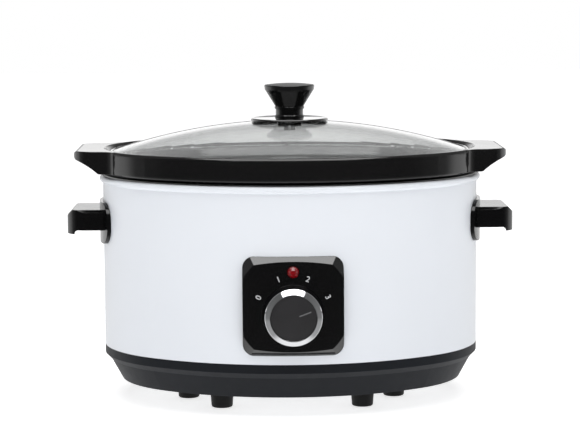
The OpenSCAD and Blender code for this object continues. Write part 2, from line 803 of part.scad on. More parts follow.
module wire(a, b, c, d, r = 1.2, steps = 16, n = 8) {
    path = [for (i = [0:steps]) bezier(a, b, c, d, i / steps)];
    points = [for (i = [0:steps])
        each wire_ring(path[i], path[min(i + 1, steps)] - path[max(i - 1, 0)], r, n)];
    sides = [for (i = [0:steps - 1], j = [0:n - 1])
        [i * n + j, i * n + (j + 1) % n, (i + 1) * n + (j + 1) % n, (i + 1) * n + j]];
    polyhedron(points, concat(
        [for (f = sides) each [[f[0], f[2], f[1]], [f[0], f[3], f[2]]]],
        [for (j = [1:n - 2]) [0, j, j + 1]],
        [for (j = [1:n - 2]) [steps * n, steps * n + j + 1, steps * n + j]]));
}

// Inner wires: two from the block to the switch, one from the block to the fuse
module wiring() {
    z = plate_z + plate_t + seat_gap + 7;
    start = block_y - 8.5;
    end_x = case_w / 2 + tab_len / 2;
    end_z = knob_z - tab_rise - tab_w / 2 - 0.3;
    under = liner_z - 4;
    color("firebrick") {
        wire([-9, start, z], [-24, -60, z], [-end_x, tab_y - 4, z + 8], [-end_x, tab_y, end_z]);
        wire([0, start, z], [34, -60, z], [end_x, tab_y - 4, z + 8], [end_x, tab_y, end_z]);
        wire([9, start, z], [30, start - 8, z], [fuse_x, 30, under], [fuse_x, -1.6, under]);
    }
}

// Gland: a bushing through the rear of the base ring, with a flange outside and a groove inside
module cord_gland() {
    inner = gland_face - gland_len + 2.5;
    color("black") translate([0, 0, gland_z]) rotate([-90, 0, 0]) rotate_extrude() polygon([
        [gland_bore / 2, inner], [gland_d / 2 - 2.4, inner], [gland_d / 2, inner + 2],
        [gland_d / 2, gland_face + seat_gap], [gland_d / 2 + 2.4, gland_face + seat_gap],
        [gland_d / 2 + 2.4, gland_face + 1.3], [gland_d / 2 + 1.4, gland_face + 2.4],
        [gland_bore / 2, gland_face + 2.4]]);
}

// Crock: a thick-rimmed stoneware pot with two lugs
module crock_pot() {
    foot_t = crock_out - crock_draft;
    in_top = crock_out - crock_wall;
    in_low = in_top - crock_draft;
    out_r = 18;
    in_r = 24;
    floor_z = crock_z + crock_floor;
    oval_sweep() polygon(concat(
        [[floor_join, crock_z]],
        arc(foot_t - out_r, crock_z + out_r, out_r, -90, 0),
        [[crock_out, crock_rest], [-4, crock_rest], [-2.4, rim_z]],
        arc(rim_out - 2.8, rim_z + 2.4, 2.4, -90, 0, 4),
        arc(rim_out - 3.2, rim_top - 3.2, 3.2, 0, 90, 6),
        [[-1.5, rim_top], [-2.6, rim_top - 0.7], [ledge_out, ledge_z + 1.4], [ledge_out, ledge_z],
            [ledge_in + 1, ledge_z]],
        arc(ledge_in + 1, ledge_z - 2, 2, 90, 160, 3),
        arc(in_top + 8, rim_z + 2, 8, 150, 180, 3),
        arc(in_low - in_r, floor_z + in_r, in_r, 0, -90, 8),
        [[floor_join, floor_z]]));
    oval_plate(floor_join, crock_z, floor_z);
}

// One lug at the right: a tab that flows out of the rim, with rounded corners and a hollowed underside
module lug() {
    rim_r = end_r + rim_out;
    tip = half_w + rim_out + lug_reach;
    half = lug_w / 2;
    fillet_x = sqrt(pow(rim_r + lug_fillet, 2) - pow(half + lug_fillet, 2));
    fillet_y = half + lug_fillet;
    share = rim_r / (rim_r + lug_fillet);
    corner = tip - end_c - fillet_x;
    foot_x = half_w + rim_out - 2;
    foot_z = rim_z + 1.2;
    top_x = tip - lug_tip / 2;
    top_z = rim_top - lug_tip / 2;
    end_x = top_x + lug_tip / 2 * cos(-60);
    end_z = top_z + lug_tip / 2 * sin(-60);
    mid_x = (foot_x + end_x) / 2 - lug_hollow;
    mid_z = (foot_z + end_z) / 2 + lug_hollow;
    intersection() {
        translate([end_c, 0, rim_z]) linear_extrude(rim_h) difference() {
            union() {
                translate([0, -half]) square([fillet_x, lug_w]);
                translate([0, corner - half]) square([fillet_x + corner, lug_w - 2 * corner]);
                for (y = [-1, 1]) {
                    translate([fillet_x, y * (half - corner)]) circle(corner);
                    difference() {
                        polygon([[fillet_x * share - 6, 0], [fillet_x * share, y * fillet_y * share],
                            [fillet_x, y * fillet_y], [fillet_x, 0]]);
                        translate([fillet_x, y * fillet_y]) circle(lug_fillet);
                    }
                }
            }
            circle(rim_r - 4);
        }
        translate([0, lug_w, 0]) rotate([90, 0, 0]) linear_extrude(2 * lug_w) polygon(concat(
            [[end_c, rim_top], [end_c, rim_z + 1], [foot_x - 1, rim_z + 1]],
            [for (i = [0:7]) let(t = i / 8, u = 1 - t) [foot_x * u * u + 2 * mid_x * t * u + end_x * t * t,
                foot_z * u * u + 2 * mid_z * t * u + end_z * t * t]],
            arc(top_x, top_z, lug_tip / 2, -60, 90, 8)));
    }
}

module crock() {
    color([0.05, 0.05, 0.05]) {
        crock_pot();
        for (s = [0, 180]) rotate(s) lug();
    }
}

// Lid glass: a shallow dome, curved differently along and across, with a thick rounded edge
module dome(t) {
    rx = dome_rx - t;
    ry = dome_ry - t;
    axis_z = apex_z - dome_ry;
    translate([0, 0, axis_z]) rotate([0, 90, 0]) rotate([0, 0, 90]) rotate_extrude(angle = 180) intersection() {
        translate([dome_ry - dome_rx, 0]) circle(rx);
        translate([0, -body_w]) square([2 * ry, 2 * body_w]);
    }
}

module lid_glass() {
    color([0.8, 0.9, 0.92, 0.4]) difference() {
        union() {
            intersection() {
                difference() {
                    dome(0);
                    dome(glass_t);
                }
                oval_plate(lid_out - lid_edge / 2, lid_z + 0.6, apex_z + 1);
            }
            oval_sweep() translate([lid_out - lid_edge / 2, lid_z + lid_edge / 2]) circle(lid_edge / 2);
        }
        translate([0, 0, apex_z - 20]) cylinder(d = glass_hole, h = 40);
    }
}

module knob_collar() {
    r = collar_d / 2;
    color([0.05, 0.05, 0.055]) rotate_extrude() polygon(concat(
        [[stem_d / 2 + screw_gap, apex_z + 1.4], [12, apex_z + 1.4], [16, apex_z + 0.6]],
        arc(r - collar_t / 2, collar_edge + collar_t / 2, collar_t / 2, -90, 90, 6),
        [[14, knob_foot - seat_gap], [stem_d / 2 + screw_gap, knob_foot - seat_gap]]));
}

module lid_knob() {
    neck = neck_d / 2;
    cap = cap_d / 2;
    z = knob_foot;
    cone_z = z + 9.6;
    crown = 1.5;
    cap_z = knob_top - 6.2;
    color([0.05, 0.05, 0.055]) difference() {
        rotate_extrude() polygon(concat(
            [[0, z], [neck + 0.6, z], [neck + 0.6, z + 1.4], [neck, z + 2.2], [neck, cone_z - 2.4],
                [neck + 1, cone_z - 2], [neck + 1, cone_z - 0.4], [neck + 0.4, cone_z]],
            [[cap - 0.8, cap_z], [cap - 0.4, cap_z + 0.4]],
            arc(cap - 0.9, knob_top - crown - 0.9, 0.9, 0, 70, 3),
            [for (i = [1:8]) let(u = 1 - i / 8) [(cap - 0.7) * u, knob_top - crown * u * u]]));
        translate([0, 0, z - 1]) cylinder(d = 8 + 2 * run_gap, h = 17);
    }
}

module knob_insert() {
    color("goldenrod") translate([0, 0, knob_foot + 0.5]) difference() {
        cylinder(d = 8, h = 14);
        translate([0, 0, -1]) cylinder(d = stem_d + 2 * run_gap, h = 16);
    }
}

inner_apex = apex_z - glass_t;
module lid_seals() {
    color("gray") {
        translate([0, 0, apex_z + seat_gap]) difference() {
            cylinder(d = 20, h = washer_t);
            translate([0, 0, -1]) cylinder(d = stem_d + 2 * screw_gap, h = 4);
        }
        translate([0, 0, inner_apex - seat_gap - washer_t - 0.2]) difference() {
            cylinder(d = 20, h = washer_t);
            translate([0, 0, -1]) cylinder(d = stem_d + 2 * screw_gap, h = 4);
        }
    }
}

module lid_washer() {
    color("silver") translate([0, 0, inner_apex - 2 * seat_gap - washer_t - 1.2]) difference() {
        cylinder(d = 22, h = 1);
        translate([0, 0, -1]) cylinder(d = stem_d + 2 * screw_gap, h = 3);
    }
}

module lid_screw() {
    head_top = inner_apex - 3 * seat_gap - washer_t - 1.2;
    color("silver") translate([0, 0, head_top - 3]) screw(stem_d, knob_foot + 13 - head_top, 10, 3);
}

module placed() {
    translate([0, centre_y, 0]) children();
}

placed() housing_shell();
placed() heating_liner();
placed() heater_band();
placed() band_straps();
placed() band_springs();
placed() base_ring();
placed() bottom_plate();
placed() plate_screws();
placed() foot_screws();
placed() foot_nuts();
placed() tie_rod();
placed() tie_washer();
placed() tie_nut();
placed() rotate(180) handle();  // handle_left
placed() handle();  // handle_right
placed() handle_screws();
placed() control_panel();
placed() panel_screws();
placed() indicator_lens();
placed() neon_lamp();
placed() mounting_plate();
placed() switch_case();
placed() switch_nut();
placed() switch_terminals();
placed() switch_cam();
placed() switch_shaft();
placed() control_knob();
placed() knob_trim_ring();
placed() knob_face();
placed() knob_pointer();
placed() knob_spring_clip();
placed() thermal_fuse();
placed() fuse_clip();
placed() terminal_block();
placed() terminal_screws();
placed() wiring();
placed() cord_gland();
placed() crock();
placed() lid_glass();
placed() lid_knob();
placed() knob_collar();
placed() knob_insert();
placed() lid_screw();
placed() lid_washer();
placed() lid_seals();
for (i = [0:len(FEET) - 1]) placed() foot(foot_pos[i]);
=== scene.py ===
import bpy
import bmesh
import math
from mathutils import Matrix, Vector


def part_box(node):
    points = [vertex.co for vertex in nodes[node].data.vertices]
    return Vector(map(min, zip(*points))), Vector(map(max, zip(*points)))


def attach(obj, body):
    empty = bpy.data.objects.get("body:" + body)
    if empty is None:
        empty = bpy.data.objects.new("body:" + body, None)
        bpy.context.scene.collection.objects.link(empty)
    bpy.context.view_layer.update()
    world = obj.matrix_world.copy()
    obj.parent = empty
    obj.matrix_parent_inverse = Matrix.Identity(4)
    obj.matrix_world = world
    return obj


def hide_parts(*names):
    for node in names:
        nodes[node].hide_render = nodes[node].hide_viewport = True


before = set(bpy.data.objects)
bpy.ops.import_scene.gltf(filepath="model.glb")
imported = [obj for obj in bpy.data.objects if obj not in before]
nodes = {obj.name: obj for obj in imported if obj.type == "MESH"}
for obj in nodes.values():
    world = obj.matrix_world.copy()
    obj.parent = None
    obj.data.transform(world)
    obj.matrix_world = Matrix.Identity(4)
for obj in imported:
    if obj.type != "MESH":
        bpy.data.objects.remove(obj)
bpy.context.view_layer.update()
print("frame loaded,", len(nodes), "CAD nodes")


class Wire:
    # a node's output: adding, scaling or comparing it adds Math nodes
    def __init__(self, tree, socket):
        self.tree = tree
        self.socket = socket

    def maths(self, operation, *terms, clamp=False):
        step = self.tree.nodes.new("ShaderNodeMath")
        step.operation = operation
        step.use_clamp = clamp
        for slot, term in zip(step.inputs, terms):
            if isinstance(term, Wire):
                self.tree.links.new(term.socket, slot)
            else:
                slot.default_value = term
        return Wire(self.tree, step.outputs[0])

    def __add__(self, other):
        return self.maths("ADD", self, other)

    def __sub__(self, other):
        return self.maths("SUBTRACT", self, other)

    def __rsub__(self, other):
        return self.maths("SUBTRACT", other, self)

    def __mul__(self, other):
        return self.maths("MULTIPLY", self, other)

    def __pow__(self, other):
        return self.maths("POWER", self, other)

    def __gt__(self, other):
        return self.maths("GREATER_THAN", self, other)

    __radd__ = __add__
    __rmul__ = __mul__

    def clamped(self):
        return self.maths("ADD", self, 0.0, clamp=True)


class Graph:
    # a node tree with one way to add any node: its type, its settings, then its sockets
    def __init__(self, tree):
        self.tree = tree

    def add(self, kind, settings=None, sockets=None, out=0):
        step = self.tree.nodes.new("ShaderNode" + kind)
        for key, value in (settings or {}).items():
            setattr(step, key, value)
        for key, value in (sockets or {}).items():
            self.join(value, step.inputs[key])
        return Wire(self.tree, step.outputs[out])

    def join(self, value, socket):
        if isinstance(value, Wire):
            self.tree.links.new(value.socket, socket)
        else:
            socket.default_value = value

    def blend(self, mask, first, second):
        # the first and second inputs of a colour mix are sockets 6 and 7
        return self.add("Mix", {"data_type": "RGBA"}, {0: mask, 6: first, 7: second}, out=2)

    def rise(self, value, start, end):
        # a smooth step from 0 at the start to 1 at the end
        return self.add("MapRange", {"interpolation_type": "SMOOTHSTEP"}, {0: value, 1: start, 2: end})

    def place(self, stretch=(1, 1, 1)):
        where = self.add("TexCoord", out="Object")
        if stretch == (1, 1, 1):
            return where
        return self.add("VectorMath", {"operation": "MULTIPLY"}, {0: where, 1: stretch})

    def along(self, source, axis):
        # one coordinate of a texture vector: Object is a place, Normal and Generated are directions
        return self.add("SeparateXYZ", None, {0: self.add("TexCoord", out=source)}, out=axis)

    def noise(self, scale, detail=3.0, roughness=0.5, stretch=(1, 1, 1)):
        return self.add("TexNoise", None, {"Vector": self.place(stretch), "Scale": scale, "Detail": detail,
                                           "Roughness": roughness})

    def cells(self, scale):
        return self.add("TexVoronoi", None, {"Vector": self.place(), "Scale": scale})


class Finish(Graph):
    # a material: constant values go straight onto the shader's own sockets
    def __init__(self, name, edge=None, **constants):
        self.material = bpy.data.materials.new(name)
        self.material.use_nodes = True
        super().__init__(self.material.node_tree)
        self.shader = self.tree.nodes["Principled BSDF"]
        for key, value in constants.items():
            self.shader.inputs[key.replace("_", " ")].default_value = value
        # rounds every sharp edge in the shading, by this radius in metres
        self.soft = self.add("Bevel", {"samples": 4}, {"Radius": edge}) if edge else None

    def feed(self, **links):
        for key, value in links.items():
            self.join(value, self.shader.inputs[key.replace("_", " ")])

    def edgeMask(self, radius, gain):
        # 0 on flats, rising to 1 on the outermost line of an edge
        wide = self.add("Bevel", {"samples": 4}, {"Radius": radius})
        flat = self.add("NewGeometry", out="Normal")
        along = self.add("VectorMath", {"operation": "DOT_PRODUCT"}, {0: wide, 1: flat}, out="Value")
        return ((1 - along) * gain).clamped()

    def relief(self, height, distance, strength):
        sockets = {"Height": height, "Distance": distance, "Strength": strength}
        if self.soft:
            sockets["Normal"] = self.soft
        self.feed(Normal=self.add("Bump", None, sockets))


def grey(value, tint=0.0):
    # a tint takes some red away and adds more blue
    return (value * (1 - tint), value, value * (1 + 1.5 * tint), 1)


# finishes: Scale keys are texture scales per metre, and depths and edges are in metres
enamel = {"coat": 0.25, "coatRough": 0.18, "edge": 0.0005, "colour": (0.70, 0.725, 0.765, 1),
          "shade": (0.665, 0.69, 0.73, 1), "shadeScale": 9, "rough": 0.30, "vary": 0.07, "varyScale": 60,
          "peelScale": 520, "grit": 0.3, "gritScale": 1800, "depth": 0.00004, "strength": 0.6}


def enamelFinish():
    v = enamel
    f = Finish("whiteEnamel", v["edge"], Coat_Weight=v["coat"], Coat_Roughness=v["coatRough"])
    f.feed(Base_Color=f.blend(f.noise(v["shadeScale"], 3), v["colour"], v["shade"]),
           Roughness=v["rough"] + v["vary"] * f.noise(v["varyScale"], 4))
    f.relief(f.noise(v["peelScale"], 2) + v["grit"] * f.noise(v["gritScale"], 1), v["depth"], v["strength"])
    return f


slate = {"specular": 0.3, "edge": 0.0006, "colour": (0.0085, 0.0102, 0.0138, 1),
         "worn": (0.032, 0.035, 0.041, 1), "wearWide": 0.0012, "wearGain": 2.2, "wearLeast": 0.35,
         "wearScale": 90, "rough": 0.48, "vary": 0.12, "varyScale": 140, "polish": 0.06, "pits": 0.6,
         "pitScale": 1500, "grit": 0.5, "gritScale": 2600, "depth": 0.00006, "strength": 0.7}


def slateFinish():
    v = slate
    f = Finish("slateMoulding", v["edge"], Specular_IOR_Level=v["specular"])
    patchy = v["wearLeast"] + (1 - v["wearLeast"]) * f.noise(v["wearScale"], 4)
    edges = f.edgeMask(v["wearWide"], v["wearGain"]) * patchy
    f.feed(Base_Color=f.blend(edges, v["colour"], v["worn"]),
           Roughness=v["rough"] + v["vary"] * f.noise(v["varyScale"], 5) - v["polish"] * edges)
    grain = f.cells(v["pitScale"]) * v["pits"] + f.noise(v["gritScale"], 2) * v["grit"]
    f.relief(grain, v["depth"], v["strength"])
    return f


piano = {"coatRough": 0.03, "ior": 1.5, "edge": 0.0007, "colour": (0.0018, 0.0018, 0.002, 1),
         "dust": (0.006, 0.006, 0.0065, 1), "edgeWide": 0.001, "edgeGain": 1.6, "edgeDust": 0.6,
         "smearDust": 0.25, "smearScale": 38, "smearStretch": (1, 1, 2.2), "smear": 0.08, "hairScale": 700,
         "hairStretch": (1, 1, 0.03), "hairFrom": 0.66, "hair": 0.05, "waveScale": 55, "depth": 0.00003,
         "strength": 0.5}
# upward faces of the lid knob: a rougher satin skin, and a lighter grey colour that is painted sheen
satinAndPaintedSheen = {"from": 0.86, "to": 0.96, "rough": 0.3, "grainScale": 900, "colour": grey(0.09),
         "grain": grey(0.13)}


def pianoFinish(name, gloss, coat, satinTopAndPaintedSheen=False):
    v = piano
    f = Finish(name, v["edge"], Coat_Weight=coat, Coat_Roughness=v["coatRough"], IOR=v["ior"])
    smear = f.noise(v["smearScale"], 5, 0.6, v["smearStretch"])
    hair = f.noise(v["hairScale"], 2, 0.5, v["hairStretch"])
    edges = f.edgeMask(v["edgeWide"], v["edgeGain"])
    dust = (edges * v["edgeDust"] + smear * v["smearDust"]).clamped()
    colour = f.blend(dust, v["colour"], v["dust"])
    rough = gloss + v["smear"] * smear + v["hair"] * (hair > v["hairFrom"])
    if satinTopAndPaintedSheen:
        # faces that look straight up have a satin skin, rougher and with less coat, and their colour is
        # painted a lighter grey with a little grain: a painted sheen from the light above
        top = f.rise(f.along("Normal", "Z"), satinAndPaintedSheen["from"], satinAndPaintedSheen["to"])
        rough = rough + top * satinAndPaintedSheen["rough"]
        f.feed(Coat_Weight=coat * (1 - top))
        # the lighter grey colour on upward faces is painted sheen, where the top light falls
        skin = f.blend(f.noise(satinAndPaintedSheen["grainScale"], 3), satinAndPaintedSheen["colour"], satinAndPaintedSheen["grain"])
        colour = f.blend(top, colour, skin)
    f.feed(Base_Color=colour, Roughness=rough)
    f.relief(f.noise(v["waveScale"], 2) + v["hair"] * hair, v["depth"], v["strength"])
    return f


glaze = {"coat": 0.18, "coatRough": 0.02, "ior": 1.52, "edge": 0.0012, "colour": (0.005, 0.005, 0.0052, 1),
         "thin": (0.012, 0.010, 0.009, 1), "thinWide": 0.0026, "thinGain": 1.8, "thinLeast": 0.4,
         "thinScale": 70, "speck": 0.12, "speckScale": 260, "speckPower": 3, "rough": 0.05, "vary": 0.07,
         "varyScale": 24, "thinRough": 0.05, "rippleScale": 16, "fine": 0.12, "fineScale": 120,
         "dimple": 0.04, "depth": 0.00018, "strength": 0.45}


def glazeFinish():
    v = glaze
    f = Finish("blackStonewareGlaze", v["edge"], Coat_Weight=v["coat"], Coat_Roughness=v["coatRough"],
               IOR=v["ior"])
    patchy = v["thinLeast"] + (1 - v["thinLeast"]) * f.noise(v["thinScale"], 4)
    thin = f.edgeMask(v["thinWide"], v["thinGain"]) * patchy
    speck = f.cells(v["speckScale"]) ** v["speckPower"]
    f.feed(Base_Color=f.blend((thin + v["speck"] * speck).clamped(), v["colour"], v["thin"]),
           Roughness=v["rough"] + v["vary"] * f.noise(v["varyScale"], 4) + v["thinRough"] * thin)
    ripple = f.noise(v["rippleScale"], 2) + v["fine"] * f.noise(v["fineScale"], 3)
    f.relief(ripple - v["dimple"] * speck, v["depth"], v["strength"])
    return f


glass = {"ior": 1.49, "specular": 0.5, "colour": (0.985, 0.995, 0.993, 1), "tint": (0.975, 0.988, 0.985, 1),
         "tintScale": 6, "vary": 0.012, "varyScale": 45, "waveScale": 14, "depth": 0.00003,
         "strength": 0.25}


def glassFinish():
    v = glass
    f = Finish("lidGlass", Transmission_Weight=1.0, IOR=v["ior"], Specular_IOR_Level=v["specular"])
    f.feed(Base_Color=f.blend(f.noise(v["tintScale"], 1), v["colour"], v["tint"]),
           Roughness=v["vary"] * f.noise(v["varyScale"], 3))
    f.relief(f.noise(v["waveScale"], 1), v["depth"], v["strength"])
    return f


metal = {"brushed": 0.35, "edge": 0.0003, "stain": 0.6, "stainScale": 28, "strokes": 0.4,
         "strokeRough": 0.12, "stainRough": 0.08, "depth": 0.00002, "strength": 0.4}


def metalFinish(name, colour, dull, rough, stretch, lines):
    v = metal
    f = Finish(name, v["edge"], Metallic=1.0, Anisotropic=v["brushed"])
    strokes = f.noise(lines, 4, 0.6, stretch)
    stain = f.noise(v["stainScale"], 4)
    f.feed(Base_Color=f.blend((stain * v["stain"] + strokes * v["strokes"]).clamped(), colour, dull),
           Roughness=rough + v["strokeRough"] * strokes + v["stainRough"] * stain)
    f.relief(strokes, v["depth"], v["strength"])
    return f


zinc = {"edge": 0.0003, "flakeScale": 120, "colour": grey(0.60, 0.02), "dark": grey(0.44, 0.03),
        "rough": 0.28, "flakeRough": 0.22, "grainScale": 600, "depth": 0.00002, "strength": 0.4}


def zincFinish():
    v = zinc
    f = Finish("zincPlate", v["edge"], Metallic=1.0)
    flakes = f.cells(v["flakeScale"])
    f.feed(Base_Color=f.blend(flakes, v["colour"], v["dark"]),
           Roughness=v["rough"] + v["flakeRough"] * flakes)
    f.relief(f.noise(v["grainScale"], 3), v["depth"], v["strength"])
    return f


chrome = {"coat": 0.3, "edge": 0.0002, "spinScale": 140, "spinStretch": (1, 0.2, 1),
          "colour": (0.86, 0.87, 0.89, 1), "dark": (0.78, 0.79, 0.81, 1), "rough": 0.045, "spinRough": 0.05,
          "depth": 0.000008, "strength": 0.3}


def chromeFinish():
    v = chrome
    f = Finish("polishedTrim", v["edge"], Metallic=1.0, Coat_Weight=v["coat"])
    spun = f.noise(v["spinScale"], 3, 0.5, v["spinStretch"])
    f.feed(Base_Color=f.blend(spun, v["colour"], v["dark"]), Roughness=v["rough"] + v["spinRough"] * spun)
    f.relief(spun, v["depth"], v["strength"])
    return f


dialFace = {"coat": 0.35, "coatRough": 0.25, "edge": 0.0003, "spinScale": 900, "shadeScale": 60,
            "colour": (0.017, 0.0165, 0.018, 1), "shade": (0.027, 0.026, 0.028, 1), "rough": 0.34,
            "spinRough": 0.1, "depth": 0.00002, "strength": 0.35}


def dialFaceFinish():
    v = dialFace
    f = Finish("satinDialFace", v["edge"], Coat_Weight=v["coat"], Coat_Roughness=v["coatRough"])
    spin = f.noise(v["spinScale"], 2)
    f.feed(Base_Color=f.blend(f.noise(v["shadeScale"], 3), v["colour"], v["shade"]),
           Roughness=v["rough"] + v["spinRough"] * spin)
    f.relief(spin, v["depth"], v["strength"])
    return f


plastic = {"edge": 0.0003, "vary": 0.12, "varyTimes": 3, "grainTimes": 8, "strength": 0.5}


def plasticFinish(name, colour, second, rough, scale, depth, **extra):
    v = plastic
    f = Finish(name, v["edge"], **extra)
    f.feed(Base_Color=f.blend(f.noise(scale, 4), colour, second),
           Roughness=rough + v["vary"] * f.noise(scale * v["varyTimes"], 3))
    f.relief(f.noise(scale * v["grainTimes"], 2), depth, v["strength"])
    return f


rubber = {"specular": 0.35, "edge": 0.0008, "bloom": 0.4, "bloomScale": 160, "scuffWide": 0.0015,
          "scuffGain": 2.0, "paler": 2.6, "rough": 0.55, "bloomRough": 0.2, "pitScale": 1400,
          "grainScale": 900, "depth": 0.00005, "strength": 0.6}


def rubberFinish(name, value):
    v = rubber
    f = Finish(name, v["edge"], Specular_IOR_Level=v["specular"])
    bloom = f.noise(v["bloomScale"], 5, 0.65)
    scuff = f.edgeMask(v["scuffWide"], v["scuffGain"]) * bloom
    f.feed(Base_Color=f.blend((bloom * v["bloom"] + scuff).clamped(), grey(value), grey(value * v["paler"])),
           Roughness=v["rough"] + v["bloomRough"] * bloom)
    f.relief(f.cells(v["pitScale"]) + f.noise(v["grainScale"], 2), v["depth"], v["strength"])
    return f


mica = {"flakeScale": 260, "layerScale": 50, "layerStretch": (1, 1, 0.25), "flake": 0.6, "layer": 0.5,
        "colour": (0.50, 0.40, 0.26, 1), "dark": (0.30, 0.22, 0.13, 1), "rough": 0.5, "flakeRough": 0.3,
        "depth": 0.0001, "strength": 0.6}


def micaFinish():
    v = mica
    f = Finish("micaBoard")
    flake = f.cells(v["flakeScale"])
    layer = f.noise(v["layerScale"], 4, 0.6, v["layerStretch"])
    f.feed(Base_Color=f.blend((v["flake"] * flake + v["layer"] * layer).clamped(), v["colour"], v["dark"]),
           Roughness=v["rough"] + v["flakeRough"] * flake)
    f.relief(flake + layer, v["depth"], v["strength"])
    return f


lensGlass = {"clear": 0.45, "ior": 1.5, "coatRough": 0.02, "glowScale": 420,
             "colour": (0.40, 0.002, 0.008, 1), "deep": (0.20, 0.001, 0.004, 1), "rough": 0.06,
             "glowRough": 0.05, "depth": 0.00001, "strength": 0.3}


def lensFinish():
    v = lensGlass
    f = Finish("redIndicatorLens", Transmission_Weight=v["clear"], IOR=v["ior"], Coat_Weight=1.0,
               Coat_Roughness=v["coatRough"])
    glow = f.noise(v["glowScale"], 2)
    f.feed(Base_Color=f.blend(glow, v["colour"], v["deep"]), Roughness=v["rough"] + v["glowRough"] * glow)
    f.relief(glow, v["depth"], v["strength"])
    return f


finishes = {
    "enamel": enamelFinish(), "slate": slateFinish(), "glaze": glazeFinish(), "glass": glassFinish(),
    "panel": pianoFinish("pianoBlackPanel", 0.07, coat=1.0),
    "grip": pianoFinish("pianoBlackGrip", 0.12, coat=0.15),
    "lidKnob": pianoFinish("pianoBlackLidKnob", 0.10, coat=0.4, satinTopAndPaintedSheen=True),
    "collar": pianoFinish("pianoBlackCollar", 0.11, coat=1.0),
    "knobSide": pianoFinish("controlKnobSide", 0.24, coat=0.6),
    "chrome": chromeFinish(), "dial": dialFaceFinish(), "zinc": zincFinish(), "mica": micaFinish(),
    "lens": lensFinish(),
    "linerSteel": metalFinish("linerSteel", grey(0.40), grey(0.30), 0.34, (1, 1, 0.08), lines=420),
    "screwSteel": metalFinish("screwSteel", grey(0.62), grey(0.48), 0.22, (1, 1, 0.3), lines=900),
    "brass": metalFinish("brassFitting", (0.72, 0.52, 0.22, 1), (0.55, 0.38, 0.15, 1), 0.25, (1, 1, 0.3),
                         lines=900),
    "footRubber": rubberFinish("footRubber", 0.011), "glandRubber": rubberFinish("glandRubber", 0.014),
    "sealRubber": rubberFinish("siliconeSeal", 0.30),
    "nylon": plasticFinish("switchNylon", (0.70, 0.67, 0.58, 1), (0.60, 0.57, 0.48, 1), 0.42, 80, 0.00003),
    "fuse": plasticFinish("fuseCeramic", (0.78, 0.77, 0.72, 1), (0.66, 0.65, 0.60, 1), 0.55, 200, 0.00004),
    "wire": plasticFinish("siliconeWire", (0.40, 0.035, 0.03, 1), (0.28, 0.02, 0.02, 1), 0.45, 220, 0.00003),
    "lamp": plasticFinish("neonLamp", (0.90, 0.42, 0.14, 1), (0.80, 0.34, 0.10, 1), 0.08, 300, 0.00001,
                          Transmission_Weight=0.7, IOR=1.46),
    "mark": plasticFinish("printedMark", (0.56, 0.57, 0.58, 1), (0.46, 0.47, 0.48, 1), 0.5, 900, 0.00001),
    "pointer": plasticFinish("pointerInlay", (0.15, 0.15, 0.155, 1), (0.10, 0.10, 0.105, 1), 0.35, 900,
                             0.00001),
}
print("finishes made:", len(finishes))

footNodes = [name for name in nodes if name.startswith("foot_") and "screw" not in name and "nut" not in name]
wears = {
    "enamel": ["housing_shell"], "slate": ["base_ring"], "glaze": ["crock"], "glass": ["lid_glass"],
    "panel": ["control_panel"], "grip": ["handle_left", "handle_right"], "lidKnob": ["lid_knob"],
    "collar": ["knob_collar"], "knobSide": ["control_knob"], "chrome": ["knob_trim_ring"],
    "dial": ["knob_face"], "pointer": ["knob_pointer"], "lens": ["indicator_lens"], "lamp": ["neon_lamp"],
    "mica": ["heater_band"], "linerSteel": ["heating_liner"],
    "zinc": ["band_straps", "bottom_plate", "mounting_plate", "fuse_clip"],
    "screwSteel": ["band_springs", "plate_screws", "foot_screws", "foot_nuts", "tie_rod", "tie_washer",
                   "tie_nut", "handle_screws", "panel_screws", "switch_nut", "switch_shaft",
                   "knob_spring_clip", "lid_screw", "lid_washer"],
    "brass": ["switch_terminals", "terminal_screws", "knob_insert"],
    "nylon": ["switch_case", "switch_cam", "terminal_block"], "fuse": ["thermal_fuse"], "wire": ["wiring"],
    "footRubber": footNodes, "glandRubber": ["cord_gland"], "sealRubber": ["lid_seals"],
}
dressed = set()
for key, names in wears.items():
    for name in names:
        slots = nodes[name].data.materials
        if len(slots):
            for index in range(len(slots)):
                slots[index] = finishes[key].material
        else:
            slots.append(finishes[key].material)
        dressed.add(name)
print("nodes without a finish:", sorted(set(nodes) - dressed))


# pieces
def housingPiece(name, shape, finish):
    piece = bpy.data.objects.new(name, shape)
    bpy.context.scene.collection.objects.link(piece)
    shape.materials.clear()
    shape.materials.append(finishes[finish].material)
    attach(piece, "housing")
    return piece


knobLow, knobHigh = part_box("knob_trim_ring")
knobCentre = (knobLow + knobHigh) / 2
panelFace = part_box("control_panel")[0].y

# numerals for the four positions, turned round the knob's axis; angles are in degrees up from the right
dial = {"signs": "0123", "angles": (152, 112, 68, 28), "radius": 0.0325, "height": 0.0048,
        "sizePerHeight": 1.42, "swell": 0.00008, "thick": 0.00012}


def dialMarks():
    for sign, angle in zip(dial["signs"], dial["angles"]):
        words = bpy.data.curves.new("dialNumber" + sign, "FONT")
        words.body = sign
        words.size = dial["height"] * dial["sizePerHeight"]
        words.extrude = dial["thick"] / 2
        words.offset = dial["swell"]
        words.align_x = "CENTER"
        words.align_y = "CENTER"
        draft = bpy.data.objects.new("draft", words)
        bpy.context.scene.collection.objects.link(draft)
        shape = bpy.data.meshes.new_from_object(draft.evaluated_get(bpy.context.evaluated_depsgraph_get()))
        bpy.data.objects.remove(draft)
        turn = math.radians(angle - 90)
        out = math.radians(angle)
        spot = Vector((knobCentre.x + dial["radius"] * math.cos(out), panelFace - dial["thick"] / 2,
                       knobCentre.z + dial["radius"] * math.sin(out)))
        upright = Matrix.Rotation(math.pi / 2, 4, "X")
        shape.transform(Matrix.Translation(spot) @ Matrix.Rotation(-turn, 4, "Y") @ upright)
        housingPiece("dialNumber" + sign, shape, "mark")


dialMarks()

# the indicator: a jewel-cut cap in place of the plain dome, with rings as shares of its radius and height
jewel = {"sides": 10, "rings": ((1.0, 0.0), (1.0, 0.22), (0.80, 0.55), (0.45, 0.86)), "proud": 0.0001}


